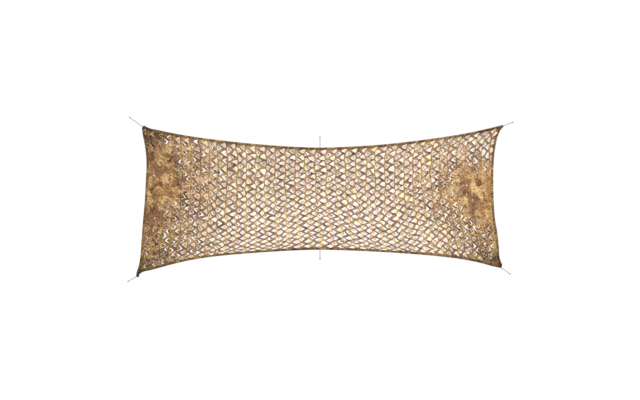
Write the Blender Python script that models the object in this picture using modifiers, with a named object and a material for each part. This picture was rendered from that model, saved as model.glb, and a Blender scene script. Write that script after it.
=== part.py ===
"""Camouflage netting: leaf-cut cloth pulled open into a net, bound with tape and hung from six cords.

Units are metres. X runs along the net, Z is up and the front of the net faces -Y. The origin is
on the outer edge of the top binding, halfway along the net.
"""
import math
import random
from collections import namedtuple

import bmesh
import bpy
import numpy as np

# Thicknesses and widths; the panel's edge is tucked this far into the folded tape
NET_THICKNESS = 0.002
TAPE_THICKNESS = 0.0015
TAPE_WIDTH = 0.025
TUCK = 0.018
CORD_DIAMETER = 0.006
GAP = 0.0003

# How far a binding's sections crowd towards its ends, where it curves most: 0 is evenly spaced
END_CROWDING = 0.5

# The cut pattern: staggered columns of V cuts, each pulled open into a hole with its leaf beside it.
# The columns are this much wider in the middle, and the lines between them swing by this share of one
COLUMNS = 38
ROWS = 9
COLUMN_STRETCH = 0.09
LINE_SWING = 0.10

# A hole runs across its cell from the leaf's hinge to the hole's tip, and is widest up to its
# shoulders. Its half height at the hinge, in rows, and its shoulders grow as it is pulled open
HINGE_AT = 0.13
SHOULDER_AT = 0.60
TIP_AT = 1.00
HALF_HEIGHT_SHUT = 0.30
HALF_HEIGHT_OPEN = 0.39
SHOULDER_SHARE = 0.56
SHOULDER_FULLNESS = 0.12

# Each leaf stands out of the cloth, the further the more its hole is pulled open
LEAF_LENGTH = 0.046
LEAF_ANGLE_SHUT = math.radians(28)
LEAF_ANGLE_OPEN = math.radians(76)
LEAVES_BACK = 0.6
LEAF_SEED = 7

# How far the net is pulled open: bunched shut near its ends, open past the shut margin and the ramp,
# and pulled open again at its top right corner and along its lower edge. Lengths are shares of u or v
SHUT_BELOW = 0.12
SHUT_MARGIN = 0.055
OPENING_RAMP = 0.20
CORNER_PULL = 0.9
CORNER_REACH_U = 0.10
CORNER_REACH_V = 0.20
LOWER_EDGE_PULL = 0.35
LOWER_EDGE_REACH = 0.12

# The cloth between its edges stands back by its belly, and is flat beside them
BELLY = 0.030
EDGE_FLAT = 0.006
RIM_REACH = 0.05

# How far out the tucked cloth of each corner goes, from the field's corner to the bindings' ends
CORNER_TUCK = 0.45

# Lines are worked out on this many points, which is far finer than any mesh that is made from them
LINE_POINTS = 1500

# The outer edges of the net, from the end of each binding to its other end: x, z
TOP_EDGE = [
    (-1.954, 0.245), (-1.893, 0.216), (-1.798, 0.195), (-1.621, 0.158), (-1.354, 0.114),
    (-0.999, 0.069), (-0.644, 0.034), (-0.289, 0.009), (0.000, 0.000), (0.333, 0.011),
    (0.688, 0.034), (1.043, 0.073), (1.399, 0.122), (1.665, 0.167), (1.909, 0.222), (2.031, 0.252),
]
BOTTOM_EDGE = [
    (-2.011, -1.438), (-2.003, -1.407), (-1.976, -1.386), (-1.887, -1.363), (-1.621, -1.291),
    (-1.443, -1.251), (-1.177, -1.210), (-0.821, -1.177), (-0.466, -1.152), (0.000, -1.135),
    (0.333, -1.143), (0.955, -1.177), (1.310, -1.207), (1.576, -1.240), (1.754, -1.275),
    (1.931, -1.321), (2.019, -1.340),
]
LEFT_EDGE = [
    (-1.978, 0.218), (-1.969, 0.151), (-1.947, 0.040), (-1.929, -0.104), (-1.926, -0.204),
    (-1.935, -0.382), (-1.947, -0.615), (-1.965, -0.815), (-1.981, -1.026), (-1.995, -1.214),
    (-2.014, -1.320), (-2.036, -1.386), (-2.041, -1.424),
]
RIGHT_EDGE = [
    (2.035, 0.228), (2.002, 0.190), (1.978, 0.140), (1.956, 0.057), (1.940, -0.038),
    (1.928, -0.182), (1.924, -0.415), (1.930, -0.615), (1.943, -0.793), (1.968, -0.937),
    (1.986, -1.114), (1.995, -1.225), (2.024, -1.305),
]

# Where the two bindings of each corner meet at their ends: x, z
CORNERS = {
    "top_left": (-1.966, 0.232),
    "top_right": (2.036, 0.240),
    "bottom_left": (-2.031, -1.438),
    "bottom_right": (2.015, -1.321),
}

# Each cord runs from its root on the edge to its free end: x, z
Cord = namedtuple("Cord", "name root free_end")
CORDS = [
    Cord("cord_top_left", (-1.966, 0.232), (-2.123, 0.340)),
    Cord("cord_top_middle", (0.000, 0.000), (0.000, 0.132)),
    Cord("cord_top_right", (2.036, 0.240), (2.151, 0.285)),
    Cord("cord_bottom_left", (-2.036, -1.431), (-2.142, -1.493)),
    Cord("cord_bottom_middle", (0.000, -1.135), (0.000, -1.248)),
    Cord("cord_bottom_right", (2.019, -1.340), (2.119, -1.409)),
]

# A cord starts this far out from its root, clear of the bindings, and has a point at each step
CORD_CLEARANCE = 0.0008
CORD_STEP = 0.015
KNOT_FROM_END = 0.016

# The knot: distances along the cord from its middle, and widths as shares of the cord's
KNOT_STEPS = [(-0.006, 1.0), (-0.004, 1.8), (0.0, 2.2), (0.004, 1.8), (0.006, 1.0)]

# Soft folds that run into the net from where it is gathered: start and end on the net as shares of
# its length and height, then the fold's half width and its depth, forwards if negative
Fold = namedtuple("Fold", "u0 v0 u1 v1 half_width depth")
FOLDS = [
    Fold(0.00, 0.00, 0.22, 0.45, 0.060, -0.016),
    Fold(0.00, 0.00, 0.09, 0.60, 0.070, 0.014),
    Fold(0.00, 1.00, 0.20, 0.62, 0.060, -0.014),
    Fold(0.00, 1.00, 0.07, 0.40, 0.060, 0.012),
    Fold(1.00, 0.00, 0.80, 0.42, 0.060, -0.014),
    Fold(1.00, 0.00, 0.94, 0.55, 0.070, 0.016),
    Fold(1.00, 1.00, 0.79, 0.60, 0.060, -0.012),
    Fold(1.00, 1.00, 0.92, 0.45, 0.070, 0.014),
    Fold(0.50, 0.00, 0.44, 0.30, 0.080, -0.008),
    Fold(0.50, 1.00, 0.55, 0.72, 0.080, -0.008),
]

CLOTH_BROWN = (0.37, 0.24, 0.13)
TAPE_BROWN = (0.26, 0.17, 0.09)
CORD_GREY = (0.30, 0.31, 0.26)


def clear_scene():
    for old in list(bpy.data.objects):
        bpy.data.objects.remove(old, do_unlink=True)


def make_material(name, colour, roughness):
    material = bpy.data.materials.new(name)
    material.use_nodes = True
    shader = material.node_tree.nodes["Principled BSDF"]
    shader.inputs["Base Color"].default_value = (*colour, 1.0)
    shader.inputs["Roughness"].default_value = roughness
    shader.inputs["Metallic"].default_value = 0.0
    return material


def smooth_line(points):
    """A smooth line through the points, on LINE_POINTS points evenly spaced along it."""
    knots = np.array(points)
    spans = np.linalg.norm(np.diff(knots, axis=0), axis=1)
    at = np.concatenate([[0.0], np.cumsum(spans)])
    slopes = np.gradient(knots, at, axis=0)
    where = np.linspace(0.0, at[-1], LINE_POINTS)
    span = np.clip(np.searchsorted(at, where, side="right") - 1, 0, len(knots) - 2)
    size = spans[span][:, None]
    t = ((where - at[span]) / spans[span])[:, None]
    line = (
        (2 * t**3 - 3 * t**2 + 1) * knots[span]
        + (t**3 - 2 * t**2 + t) * size * slopes[span]
        + (3 * t**2 - 2 * t**3) * knots[span + 1]
        + (t**3 - t**2) * size * slopes[span + 1]
    )
    return resample(line, LINE_POINTS)


def resample(line, count):
    """The same line on count points evenly spaced along it."""
    lengths = np.linalg.norm(np.diff(line, axis=0), axis=1)
    at = np.concatenate([[0.0], np.cumsum(lengths)])
    where = np.linspace(0.0, at[-1], count)
    return np.column_stack([np.interp(where, at, line[:, axis]) for axis in (0, 1)])


def inward(line, side):
    """Unit vectors square to the line, towards its right for side 1 and its left for side -1."""
    along = np.gradient(line, axis=0)
    along /= np.linalg.norm(along, axis=1)[:, None]
    return side * np.column_stack([along[:, 1], -along[:, 0]])


class Edge:
    """One side of the net: its outer edge, the lip of its binding and the line where the cuts start."""

    def __init__(self, points, side):
        self.outer = smooth_line(points)
        self.inward = inward(self.outer, side)
        self.lip = self.outer + TAPE_WIDTH * self.inward
        self.field = self.lip + EDGE_FLAT * self.inward

        self.lip_ends = {}
        self.field_ends = {}

    def field_line(self):
        first, last = sorted(self.field_ends.values())
        return resample(self.field[first : last + 1], LINE_POINTS)


def join_lines(line_a, ends_a, line_b, ends_b, corner):
    """Bring two lines to one point where they cross, and keep each one's index of that point."""
    distances = np.linalg.norm(line_a[:, None, :] - line_b[None, :, :], axis=2)
    at_a, at_b = np.unravel_index(np.argmin(distances), distances.shape)
    meeting = (line_a[at_a] + line_b[at_b]) / 2
    line_a[at_a] = meeting
    line_b[at_b] = meeting
    ends_a[corner] = int(at_a)
    ends_b[corner] = int(at_b)


def make_edges():
    edges = {
        "top": Edge(TOP_EDGE, 1),
        "bottom": Edge(BOTTOM_EDGE, -1),
        "left": Edge(LEFT_EDGE, -1),
        "right": Edge(RIGHT_EDGE, 1),
    }
    for corner in CORNERS:
        level, upright = (edges[side] for side in corner.split("_"))
        join_lines(level.lip, level.lip_ends, upright.lip, upright.lip_ends, corner)
        join_lines(level.field, level.field_ends, upright.field, upright.field_ends, corner)
    return edges


class Field:
    """The cut field of the net, with u from 0 at its left to 1 at its right and v from top to bottom."""

    def __init__(self, edges):
        self.lines = {name: edge.field_line() for name, edge in edges.items()}
        top, bottom = self.lines["top"], self.lines["bottom"]
        self.corners = {(0, 0): top[0], (1, 0): top[-1], (0, 1): bottom[0], (1, 1): bottom[-1]}

    def on(self, name, share):
        where = share * (LINE_POINTS - 1)
        steps = np.arange(LINE_POINTS)
        return np.array([np.interp(where, steps, self.lines[name][:, axis]) for axis in (0, 1)])

    def flat(self, u, v):
        """The point's x and z: a patch stretched between the four sides."""
        u = u - COLUMN_STRETCH * math.sin(2 * math.pi * u) / (2 * math.pi)
        across = (1 - v) * self.on("top", u) + v * self.on("bottom", u)
        down = (1 - u) * self.on("left", v) + u * self.on("right", v)
        corners = sum(
            (u if right else 1 - u) * (v if low else 1 - v) * self.corners[(right, low)]
            for right, low in self.corners
        )
        return across + down - corners

    def depth(self, u, v):
        """How far back the cloth stands: its belly and its folds, both nothing at its edges."""
        rim = min(u, 1 - u, v, 1 - v)
        held = 1 - math.exp(-rim / RIM_REACH)
        deep = BELLY * math.sin(math.pi * v) * math.sin(math.pi * min(max(u, 0), 1)) ** 0.5
        here = self.flat(u, v)
        for fold in FOLDS:
            start, end = self.flat(fold.u0, fold.v0), self.flat(fold.u1, fold.v1)
            run = end - start
            share = float(np.dot(here - start, run) / np.dot(run, run))
            beside = np.linalg.norm(here - start - min(max(share, 0), 1) * run)
            fade = max(0.0, 1 - abs(2 * share - 1) ** 3)
            deep += fold.depth * fade * math.exp(-((beside / fold.half_width) ** 2))
        return held * deep

    def point(self, u, v):
        x, z = self.flat(u, v)
        return np.array([x, self.depth(u, v), z])


def openness(u, v):
    """How far the net is pulled open, from 0 where it is bunched shut to 1 in the middle."""
    from_end = (min(u, 1 - u) - SHUT_MARGIN) / OPENING_RAMP
    corner = CORNER_PULL * math.exp(-(((1 - u) / CORNER_REACH_U) ** 2) - (v / CORNER_REACH_V) ** 2)
    lower_edge = LOWER_EDGE_PULL * math.exp(-(((1 - v) / LOWER_EDGE_REACH) ** 2))
    lower_edge *= min(1.0, max(0.0, from_end + LOWER_EDGE_PULL))
    return min(1.0, max(0.0, from_end) + corner + lower_edge)


class Panel:
    """The net panel as one surface, built cell by cell; each cell holds one hole and its leaf."""

    def __init__(self, field, edges):
        self.field = field
        self.edges = edges
        self.mesh = bmesh.new()
        self.lines = {}
        self.draw = random.Random(LEAF_SEED)

    def vertex(self, point):
        return self.mesh.verts.new(tuple(float(value) for value in point))

    def face(self, vertices, mirrored=False):
        self.mesh.faces.new(vertices[::-1] if mirrored else vertices)

    def line_vertex(self, line, half_row):
        """A vertex on the line between two columns, which swings away from the hole beside it."""
        key = (line, half_row)
        if key not in self.lines:
            u, v = line / COLUMNS, half_row / (2 * ROWS)
            inside = 0 < line < COLUMNS and 0 < half_row < 2 * ROWS
            beside_left_hole = (line - 1) % 2 != half_row % 2
            swing = LINE_SWING / COLUMNS * (1 if beside_left_hole else -1)
            self.lines[key] = self.vertex(self.field.point(u + swing * inside, v))
        return self.lines[key]

    def hole(self, column, first, outer):
        """One hole and its leaf. Holes of even columns point left and those of odd columns right."""
        pull = openness((column + 0.5) / COLUMNS, (first + 1) / (2 * ROWS))
        points_right = column % 2 == 1

        def at(across, down):
            """A point of the cell: across from the hole's straight side to its tip."""
            share = across if points_right else 1 - across
            return self.field.point((column + share) / COLUMNS, (first + 2 * down) / (2 * ROWS))

        half = HALF_HEIGHT_SHUT + (HALF_HEIGHT_OPEN - HALF_HEIGHT_SHUT) * pull
        shoulder = SHOULDER_SHARE * half + SHOULDER_FULLNESS * pull
        hinge_top, hinge_low = at(HINGE_AT, 0.5 - half), at(HINGE_AT, 0.5 + half)
        hole_tip = at(TIP_AT, 0.5)
        upper = self.vertex(at(SHOULDER_AT, 0.5 - shoulder))
        lower = self.vertex(at(SHOULDER_AT, 0.5 + shoulder))
        top, low, tip = [self.vertex(point) for point in (hinge_top, hinge_low, hole_tip)]
        hinge = (hinge_top + hinge_low) / 2
        reach = hole_tip - hinge
        reach /= np.linalg.norm(reach)
        front = np.cross(reach, hinge_top - hinge_low) * (1 if points_right else -1)
        front /= np.linalg.norm(front)
        angle = LEAF_ANGLE_SHUT + (LEAF_ANGLE_OPEN - LEAF_ANGLE_SHUT) * pull
        turn = -1 if self.draw.random() < LEAVES_BACK else 1
        leaf_tip = hinge + LEAF_LENGTH * (math.cos(angle) * reach + turn * math.sin(angle) * front)
        leaf = self.vertex(leaf_tip)

        tip_top, tip_middle, tip_low, side_low, side_middle, side_top = outer
        for corners in (
            (tip_top, tip_middle, tip, upper),
            (tip_middle, tip_low, lower, tip),
            (tip_low, side_low, low, lower),
            (side_low, side_middle, low),
            (side_middle, top, low),
            (side_middle, side_top, top),
            (side_top, tip_top, upper, top),
            (low, top, leaf),
        ):
            self.face(corners, mirrored=points_right)

    def cell(self, column, first, last):
        left = [self.line_vertex(column, row) for row in range(first, last + 1)]
        right = [self.line_vertex(column + 1, row) for row in range(first, last + 1)]
        pull = openness((column + 0.5) / COLUMNS, (first + 1) / (2 * ROWS))
        if last - first < 2 or pull < SHUT_BELOW:
            self.face(left + right[::-1])
            return
        tip_side, hinge_side = (right, left) if column % 2 else (left, right)
        self.hole(column, first, tip_side + hinge_side[::-1])

    def cells(self):
        for column in range(COLUMNS):
            starts = range(column % 2, 2 * ROWS - 1, 2)
            for first in starts:
                self.cell(column, first, first + 2)
            if column % 2:
                self.cell(column, 0, 1)
                self.cell(column, 2 * ROWS - 1, 2 * ROWS)

    def tucked(self, edge, rim_vertex):
        """The vertex of the tucked-in cloth that lies outside this vertex of the field's edge."""
        x, _, z = rim_vertex.co
        nearest = np.argmin(np.linalg.norm(edge.field - np.array([x, z]), axis=1))
        out = (EDGE_FLAT + TUCK) * edge.inward[nearest]
        return self.vertex((x - out[0], 0.0, z - out[1]))

    def tuck(self):
        """The plain cloth round the field, which the bindings hold."""
        rims = {
            "top": [self.line_vertex(line, 0) for line in range(COLUMNS + 1)],
            "bottom": [self.line_vertex(line, 2 * ROWS) for line in range(COLUMNS, -1, -1)],
            "left": [self.line_vertex(0, row) for row in range(2 * ROWS, -1, -1)],
            "right": [self.line_vertex(COLUMNS, row) for row in range(2 * ROWS + 1)],
        }
        ends = {}
        for name, rim in rims.items():
            tucked = [self.tucked(self.edges[name], vertex) for vertex in rim]
            for here, there, far, near in zip(rim, rim[1:], tucked[1:], tucked):
                self.face((here, near, far, there), mirrored=True)
            ends[name] = (rim[0], tucked[0], rim[-1], tucked[-1])
        for corner, (x, z) in CORNERS.items():
            level, upright = corner.split("_")
            starts = corner in ("top_left", "bottom_right")
            inner, level_out = ends[level][0:2] if starts else ends[level][2:4]
            upright_out = ends[upright][3 if starts else 1]
            meet = inner.co.lerp((x, 0.0, z), CORNER_TUCK)
            self.face((inner, level_out, self.vertex(meet), upright_out), mirrored=not starts)


def make_object(name, mesh, material, collection):
    mesh.materials.append(material)
    made = bpy.data.objects.new(name, mesh)
    collection.objects.link(made)
    return made


def add_thickness(made, thickness):
    solidify = made.modifiers.new("cloth thickness", "SOLIDIFY")
    solidify.thickness = thickness
    solidify.offset = 0.0


def make_panel(edges, material, collection):
    panel = Panel(Field(edges), edges)
    panel.cells()
    panel.tuck()
    bmesh.ops.recalc_face_normals(panel.mesh, faces=panel.mesh.faces)
    data = bpy.data.meshes.new("net_panel")
    panel.mesh.to_mesh(data)
    panel.mesh.free()
    add_thickness(make_object("net_panel", data, material, collection), NET_THICKNESS)


def binding_stations(edge, pieces):
    """Points on the binding's outer fold and on its lip, in pairs along it, mitred at both ends."""
    (start, first), (end, last) = sorted(edge.lip_ends.items(), key=lambda item: item[1])
    count = len(edge.outer) - 1
    shares = np.linspace(0.0, 1.0, pieces + 1)
    crowded = (1 - np.cos(np.pi * shares)) / 2
    shares = (1 - END_CROWDING) * shares + END_CROWDING * crowded
    middle = (first + (last - first) * shares).round().astype(int)
    indices = [0, first // 2, *middle, (last + count) // 2, count]
    stations = []
    for index in indices:
        outer, lip = edge.outer[index], edge.lip[index]
        if index <= first or index >= last:
            corner = np.array(CORNERS[start if index <= first else end])
            turn = first if index <= first else last
            far = 0 if index <= first else count
            share = abs(index - turn) / abs(far - turn)
            lip = (1 - share) * edge.lip[turn] + share * corner
            mitre = corner - edge.lip[turn]
            mitre /= np.linalg.norm(mitre)
            aside = edge.outer[far] - corner
            aside -= np.dot(aside, mitre) * mitre
            lip = lip + GAP * aside / np.linalg.norm(aside)
        stations.append((outer, lip))
    return stations


def make_binding(name, edge, pieces, material, collection):
    """A tape folded over the panel's edge: a strip bent round the fold, then given its thickness."""
    stations = binding_stations(edge, pieces)
    spread = NET_THICKNESS / 2 + GAP + TAPE_THICKNESS / 2
    profile = [(1.0, -spread), (None, -spread), (0.0, 0.0), (None, spread), (1.0, spread)]
    grid = bmesh.new()
    bmesh.ops.create_grid(
        grid, x_segments=len(stations) - 1, y_segments=len(profile) - 1, size=1.0
    )
    for vertex in grid.verts:
        station = round((vertex.co.x + 1) / 2 * (len(stations) - 1))
        across, depth = profile[round((vertex.co.y + 1) / 2 * (len(profile) - 1))]
        outer, lip = stations[station]
        run = lip - outer
        run_length = np.linalg.norm(run)
        from_fold = TAPE_THICKNESS / 2
        if across is None:
            from_fold += spread
        elif across > 0:
            from_fold = run_length
        x, z = outer + run / run_length * from_fold
        vertex.co = (x, depth, z)
    bmesh.ops.recalc_face_normals(grid, faces=grid.faces)
    data = bpy.data.meshes.new(name)
    grid.to_mesh(data)
    grid.free()
    add_thickness(make_object(name, data, material, collection), TAPE_THICKNESS)


def make_cord(cord, material, collection):
    """A taut cord with a stopper knot near its free end."""
    root, free_end = np.array(cord.root), np.array(cord.free_end)
    length = np.linalg.norm(free_end - root)
    along = (free_end - root) / length
    knot = length - KNOT_FROM_END
    plain = knot + KNOT_STEPS[0][0] - CORD_CLEARANCE
    steps = max(2, round(plain / CORD_STEP))
    places = [(CORD_CLEARANCE + plain * step / steps, 1.0) for step in range(steps)]
    places += [(knot + offset, width) for offset, width in KNOT_STEPS]
    places.append((length, 1.0))
    curve = bpy.data.curves.new(cord.name, "CURVE")
    curve.dimensions = "3D"
    curve.bevel_depth = CORD_DIAMETER / 2
    curve.bevel_resolution = 2
    curve.use_fill_caps = True
    spline = curve.splines.new("POLY")
    spline.points.add(len(places) - 1)
    for point, (distance, width) in zip(spline.points, places):
        x, z = root + distance * along
        point.co = (x, 0.0, z, 1.0)
        point.radius = width
    curve.materials.append(material)
    collection.objects.link(bpy.data.objects.new(cord.name, curve))


def build():
    clear_scene()
    collection = bpy.data.collections.new("camouflage_netting")
    bpy.context.scene.collection.children.link(collection)
    cloth = make_material("net cloth", CLOTH_BROWN, 0.85)
    tape = make_material("binding tape", TAPE_BROWN, 0.85)
    cord_yarn = make_material("cord yarn", CORD_GREY, 0.7)
    edges = make_edges()
    make_panel(edges, cloth, collection)
    for name, pieces in (("top", 36), ("bottom", 36), ("left", 16), ("right", 16)):
        make_binding(f"binding_{name}", edges[name], pieces, tape, collection)
    for cord in CORDS:
        make_cord(cord, cord_yarn, collection)


build()
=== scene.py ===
"""Camouflage netting: leaf-cut cloth pulled open into a net, bound with tape and hung from six cords."""
import math
import random

import bmesh
import bpy
import numpy as np
from mathutils import Matrix, Vector


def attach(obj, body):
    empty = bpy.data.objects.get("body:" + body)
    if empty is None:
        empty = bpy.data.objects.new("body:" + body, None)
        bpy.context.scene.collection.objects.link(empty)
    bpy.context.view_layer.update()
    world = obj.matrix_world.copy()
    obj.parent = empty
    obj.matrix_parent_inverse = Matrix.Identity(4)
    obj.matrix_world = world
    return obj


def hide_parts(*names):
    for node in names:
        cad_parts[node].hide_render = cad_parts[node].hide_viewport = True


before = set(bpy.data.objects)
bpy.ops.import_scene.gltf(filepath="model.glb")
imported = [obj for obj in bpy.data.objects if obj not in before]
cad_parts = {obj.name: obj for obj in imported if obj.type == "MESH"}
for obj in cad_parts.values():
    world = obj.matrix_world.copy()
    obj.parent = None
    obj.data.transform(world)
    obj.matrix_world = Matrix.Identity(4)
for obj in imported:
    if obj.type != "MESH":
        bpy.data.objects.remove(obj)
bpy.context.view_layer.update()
scene = bpy.context.scene


# ---- Camera ----
# It looks square on to the net's front, with the whole net and its cords in the middle of the view.
VIEW_WIDTH = 7.104
VIEW_CENTRE_Z = -0.582
LENS = 50.0
SENSOR = 36.0


def add_object(name, data):
    """An object in the scene that shows the data."""
    made = bpy.data.objects.new(name, data)
    scene.collection.objects.link(made)
    return made


camera_data = bpy.data.cameras.new("camera")
camera_data.lens = LENS
camera_data.sensor_width = SENSOR
camera = add_object("camera", camera_data)
camera.location = (0.0, -VIEW_WIDTH * LENS / SENSOR, VIEW_CENTRE_Z)
camera.rotation_euler = (math.pi / 2, 0.0, 0.0)
scene.camera = camera


# ---- Tie cords ----
# Six lengths of 6 mm braided polyester cord, each sewn into the fold of the edge tape and pulled taut.
# Each ends in an overhand stopper knot, which keeps the braid from fraying and holds a hitch.
CORD_DIAMETER = 0.006
CORD_SIDES = 14
CORD_STEP = 0.003
CORD_SEWN_IN = 0.004

# The braid's strands round the cord, and how often they go round it in a metre
BRAID_STRANDS = 8
BRAID_TURNS = 190

# Paler flecks in the yarn, round the cord and in a metre of it
FLECKS_ROUND = 30
FLECKS_ALONG = 700

# The stopper knot: its place on the cord, its strand, its half width and its half length
KNOT_FROM_END = 0.016
KNOT_STRAND = 0.0046
KNOT_WIDE = 0.0018
KNOT_LONG = 0.0038
KNOT_POINTS = 72
KNOT_SIDES = 10

CORDS = {
    "cord_top_left": ((-1.966, 0.232), (-2.123, 0.340)),
    "cord_top_middle": ((0.000, 0.000), (0.000, 0.132)),
    "cord_top_right": ((2.036, 0.240), (2.151, 0.285)),
    "cord_bottom_left": ((-2.036, -1.431), (-2.142, -1.493)),
    "cord_bottom_middle": ((0.000, -1.135), (0.000, -1.248)),
    "cord_bottom_right": ((2.019, -1.340), (2.119, -1.409)),
}


def operator(operation, swapped=False):
    """A method that adds one Math node, with the other value first if swapped."""
    def method(self, *others):
        values = (*others, self) if swapped else (self, *others)
        return self.nodes.maths(operation, *values)
    return method


class Socket:
    """One node's output. Sums on it add Math nodes."""

    def __init__(self, nodes, socket):
        self.nodes = nodes
        self.socket = socket

    __add__ = operator("ADD")
    __radd__ = operator("ADD", swapped=True)
    __sub__ = operator("SUBTRACT")
    __rsub__ = operator("SUBTRACT", swapped=True)
    __mul__ = operator("MULTIPLY")
    __rmul__ = operator("MULTIPLY", swapped=True)
    __truediv__ = operator("DIVIDE")
    __pow__ = operator("POWER")
    __abs__ = operator("ABSOLUTE")
    least = operator("MINIMUM")
    most = operator("MAXIMUM")
    sine = operator("SINE")
    cosine = operator("COSINE")
    exponent = operator("EXPONENT")

    def clamped(self):
        """The same value, kept between 0 and 1."""
        return self.nodes.maths("ADD", self, 0.0, clamp=True)


class Nodes:
    """Adds nodes to one tree: a node's settings are set first, and then its inputs."""

    def __init__(self, tree):
        self.tree = tree

    def fill(self, node, inputs):
        """Link or set a node's inputs."""
        for name, value in inputs.items():
            if isinstance(value, Socket):
                self.tree.links.new(value.socket, node.inputs[name])
            else:
                node.inputs[name].default_value = value

    def add(self, kind, inputs=None, settings=None, out=0):
        node = self.tree.nodes.new(kind)
        for name, value in (settings or {}).items():
            setattr(node, name, value)
        self.fill(node, inputs or {})
        return Socket(self, node.outputs[out])

    def maths(self, operation, *values, clamp=False):
        settings = {"operation": operation, "use_clamp": clamp}
        return self.add("ShaderNodeMath", dict(enumerate(values)), settings)

    def vector(self, operation, *values):
        return self.add("ShaderNodeVectorMath", dict(enumerate(values)), {"operation": operation})

    def join(self, x, y, z=0.0):
        return self.add("ShaderNodeCombineXYZ", {0: x, 1: y, 2: z})

    def split(self, vector):
        node = self.add("ShaderNodeSeparateXYZ", {0: vector}).socket.node
        return [Socket(self, output) for output in node.outputs]

    def mix_colours(self, factor, first, second, blend="MIX"):
        settings = {"data_type": "RGBA", "blend_type": blend, "clamp_factor": True}
        return self.add("ShaderNodeMix", {0: factor, 6: first, 7: second}, settings, 2)

    def step(self, value, edge, softness):
        """0 below the edge and 1 above it, with a soft change between them."""
        inputs = {0: value, 1: edge - softness, 2: edge + softness, 3: 0.0, 4: 1.0}
        return self.add("ShaderNodeMapRange", inputs, {"interpolation_type": "SMOOTHSTEP"})

    def noise(self, vector, scale, detail=2.0, roughness=0.5, distortion=0.0, out=0):
        inputs = {"Vector": vector, "Scale": scale, "Detail": detail}
        inputs.update({"Roughness": roughness, "Distortion": distortion})
        return self.add("ShaderNodeTexNoise", inputs, {"noise_dimensions": "3D"}, out)

    def bump(self, height, strength, distance, **normal):
        """A bump that rises with the height, laid over another normal if one is given."""
        inputs = {"Strength": strength, "Distance": distance, "Height": height, **normal}
        return self.add("ShaderNodeBump", inputs)

    def uv_map(self):
        return self.add("ShaderNodeUVMap", settings={"uv_map": "UVMap"})

    def object_place(self):
        return self.add("ShaderNodeTexCoord", out=3)


def linear(red, green, blue):
    """A colour as it looks, in 0 to 255, as the shader wants it, with its alpha."""
    shares = [value / 255 for value in (red, green, blue)]
    return *(v / 12.92 if v <= 0.04045 else ((v + 0.055) / 1.055) ** 2.4 for v in shares), 1.0


def new_material(name):
    """A material, its nodes and its shader."""
    material = bpy.data.materials.new(name)
    material.use_nodes = True
    return material, Nodes(material.node_tree), material.node_tree.nodes["Principled BSDF"]


def make_cord_material(name, dark, light, flecks):
    """Braided cord: two sets of strands that cross, in a grey-green yarn with paler flecks and painted
    shade in the grooves between the strands.
    """
    material, nodes, shader = new_material(name)
    around, along, _ = nodes.split(nodes.uv_map())
    strand, turn = around * BRAID_STRANDS, along * BRAID_TURNS
    strands_right = ((strand + turn) * (2 * math.pi)).sine()
    strands_left = ((strand - turn) * (2 * math.pi)).sine()
    braid = strands_right.most(strands_left)
    fleck = nodes.noise(nodes.join(around * FLECKS_ROUND, along * FLECKS_ALONG), 1.0)
    # Painted shade: the yarn is darker in the grooves between the strands than on their crowns
    base = nodes.mix_colours(braid, linear(*dark), linear(*light))
    colour = nodes.mix_colours(nodes.step(fleck, 0.62, 0.06), base, linear(*flecks))
    bump = nodes.bump(braid, 0.6, 0.0006)
    nodes.fill(shader, {"Base Color": colour, "Roughness": 0.75, "Normal": bump})
    return material


def mesh_object(name, mesh, material=None):
    """An object made of a finished bmesh, which is freed."""
    data = bpy.data.meshes.new(name)
    mesh.to_mesh(data)
    mesh.free()
    if material:
        data.materials.append(material)
    return add_object(name, data)


def skin(mesh, rows, uv_at, closed=False):
    """Smooth faces between rows of vertices, each corner's UV from its row and its place."""
    uv_layer = mesh.loops.layers.uv.new("UVMap")
    count = len(rows[0])
    for low in range(len(rows) - 1):
        for step in range(count if closed else count - 1):
            corners = [(low, step), (low, step + 1), (low + 1, step + 1), (low + 1, step)]
            face = mesh.faces.new([rows[row][place % count] for row, place in corners])
            face.smooth = True
            for loop, corner in zip(face.loops, corners):
                loop[uv_layer].uv = uv_at(*corner)


def sweep(name, path, width, sides, material):
    """A round tube along the path with closed ends and a UV map: round it, and along it in metres."""
    mesh = bmesh.new()
    side = (path[1] - path[0]).orthogonal().normalized()
    turns = [2 * math.pi * step / sides for step in range(sides)]
    rings, travelled = [], [0.0]
    for index, point in enumerate(path):
        before, after = path[max(index - 1, 0)], path[min(index + 1, len(path) - 1)]
        along = (after - before).normalized()
        side = (side - side.dot(along) * along).normalized()
        other = along.cross(side)
        rings.append([
            mesh.verts.new(point + width / 2 * (math.cos(turn) * side + math.sin(turn) * other))
            for turn in turns
        ])
        travelled.append(travelled[-1] + (after - point).length)
    skin(mesh, rings, lambda ring, step: (step / sides, travelled[ring]), closed=True)
    mesh.faces.new(rings[0][::-1])
    mesh.faces.new(rings[-1])
    return mesh_object(name, mesh, material)


def overhand_knot(name, centre, along, material):
    """A tight overhand knot round the cord: one strand laid in a trefoil."""
    across = along.cross(Vector((0, 1, 0))).normalized()
    up = across.cross(along)
    path = []
    for step in range(KNOT_POINTS + 1):
        turn = 2 * math.pi * step / KNOT_POINTS
        wide = KNOT_WIDE * (2 + math.cos(3 * turn))
        path.append(
            centre
            + wide * math.cos(2 * turn) * across
            + wide * math.sin(2 * turn) * up
            + KNOT_LONG * math.sin(3 * turn) * along
        )
    return sweep(name, path, KNOT_STRAND, KNOT_SIDES, material)


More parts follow.
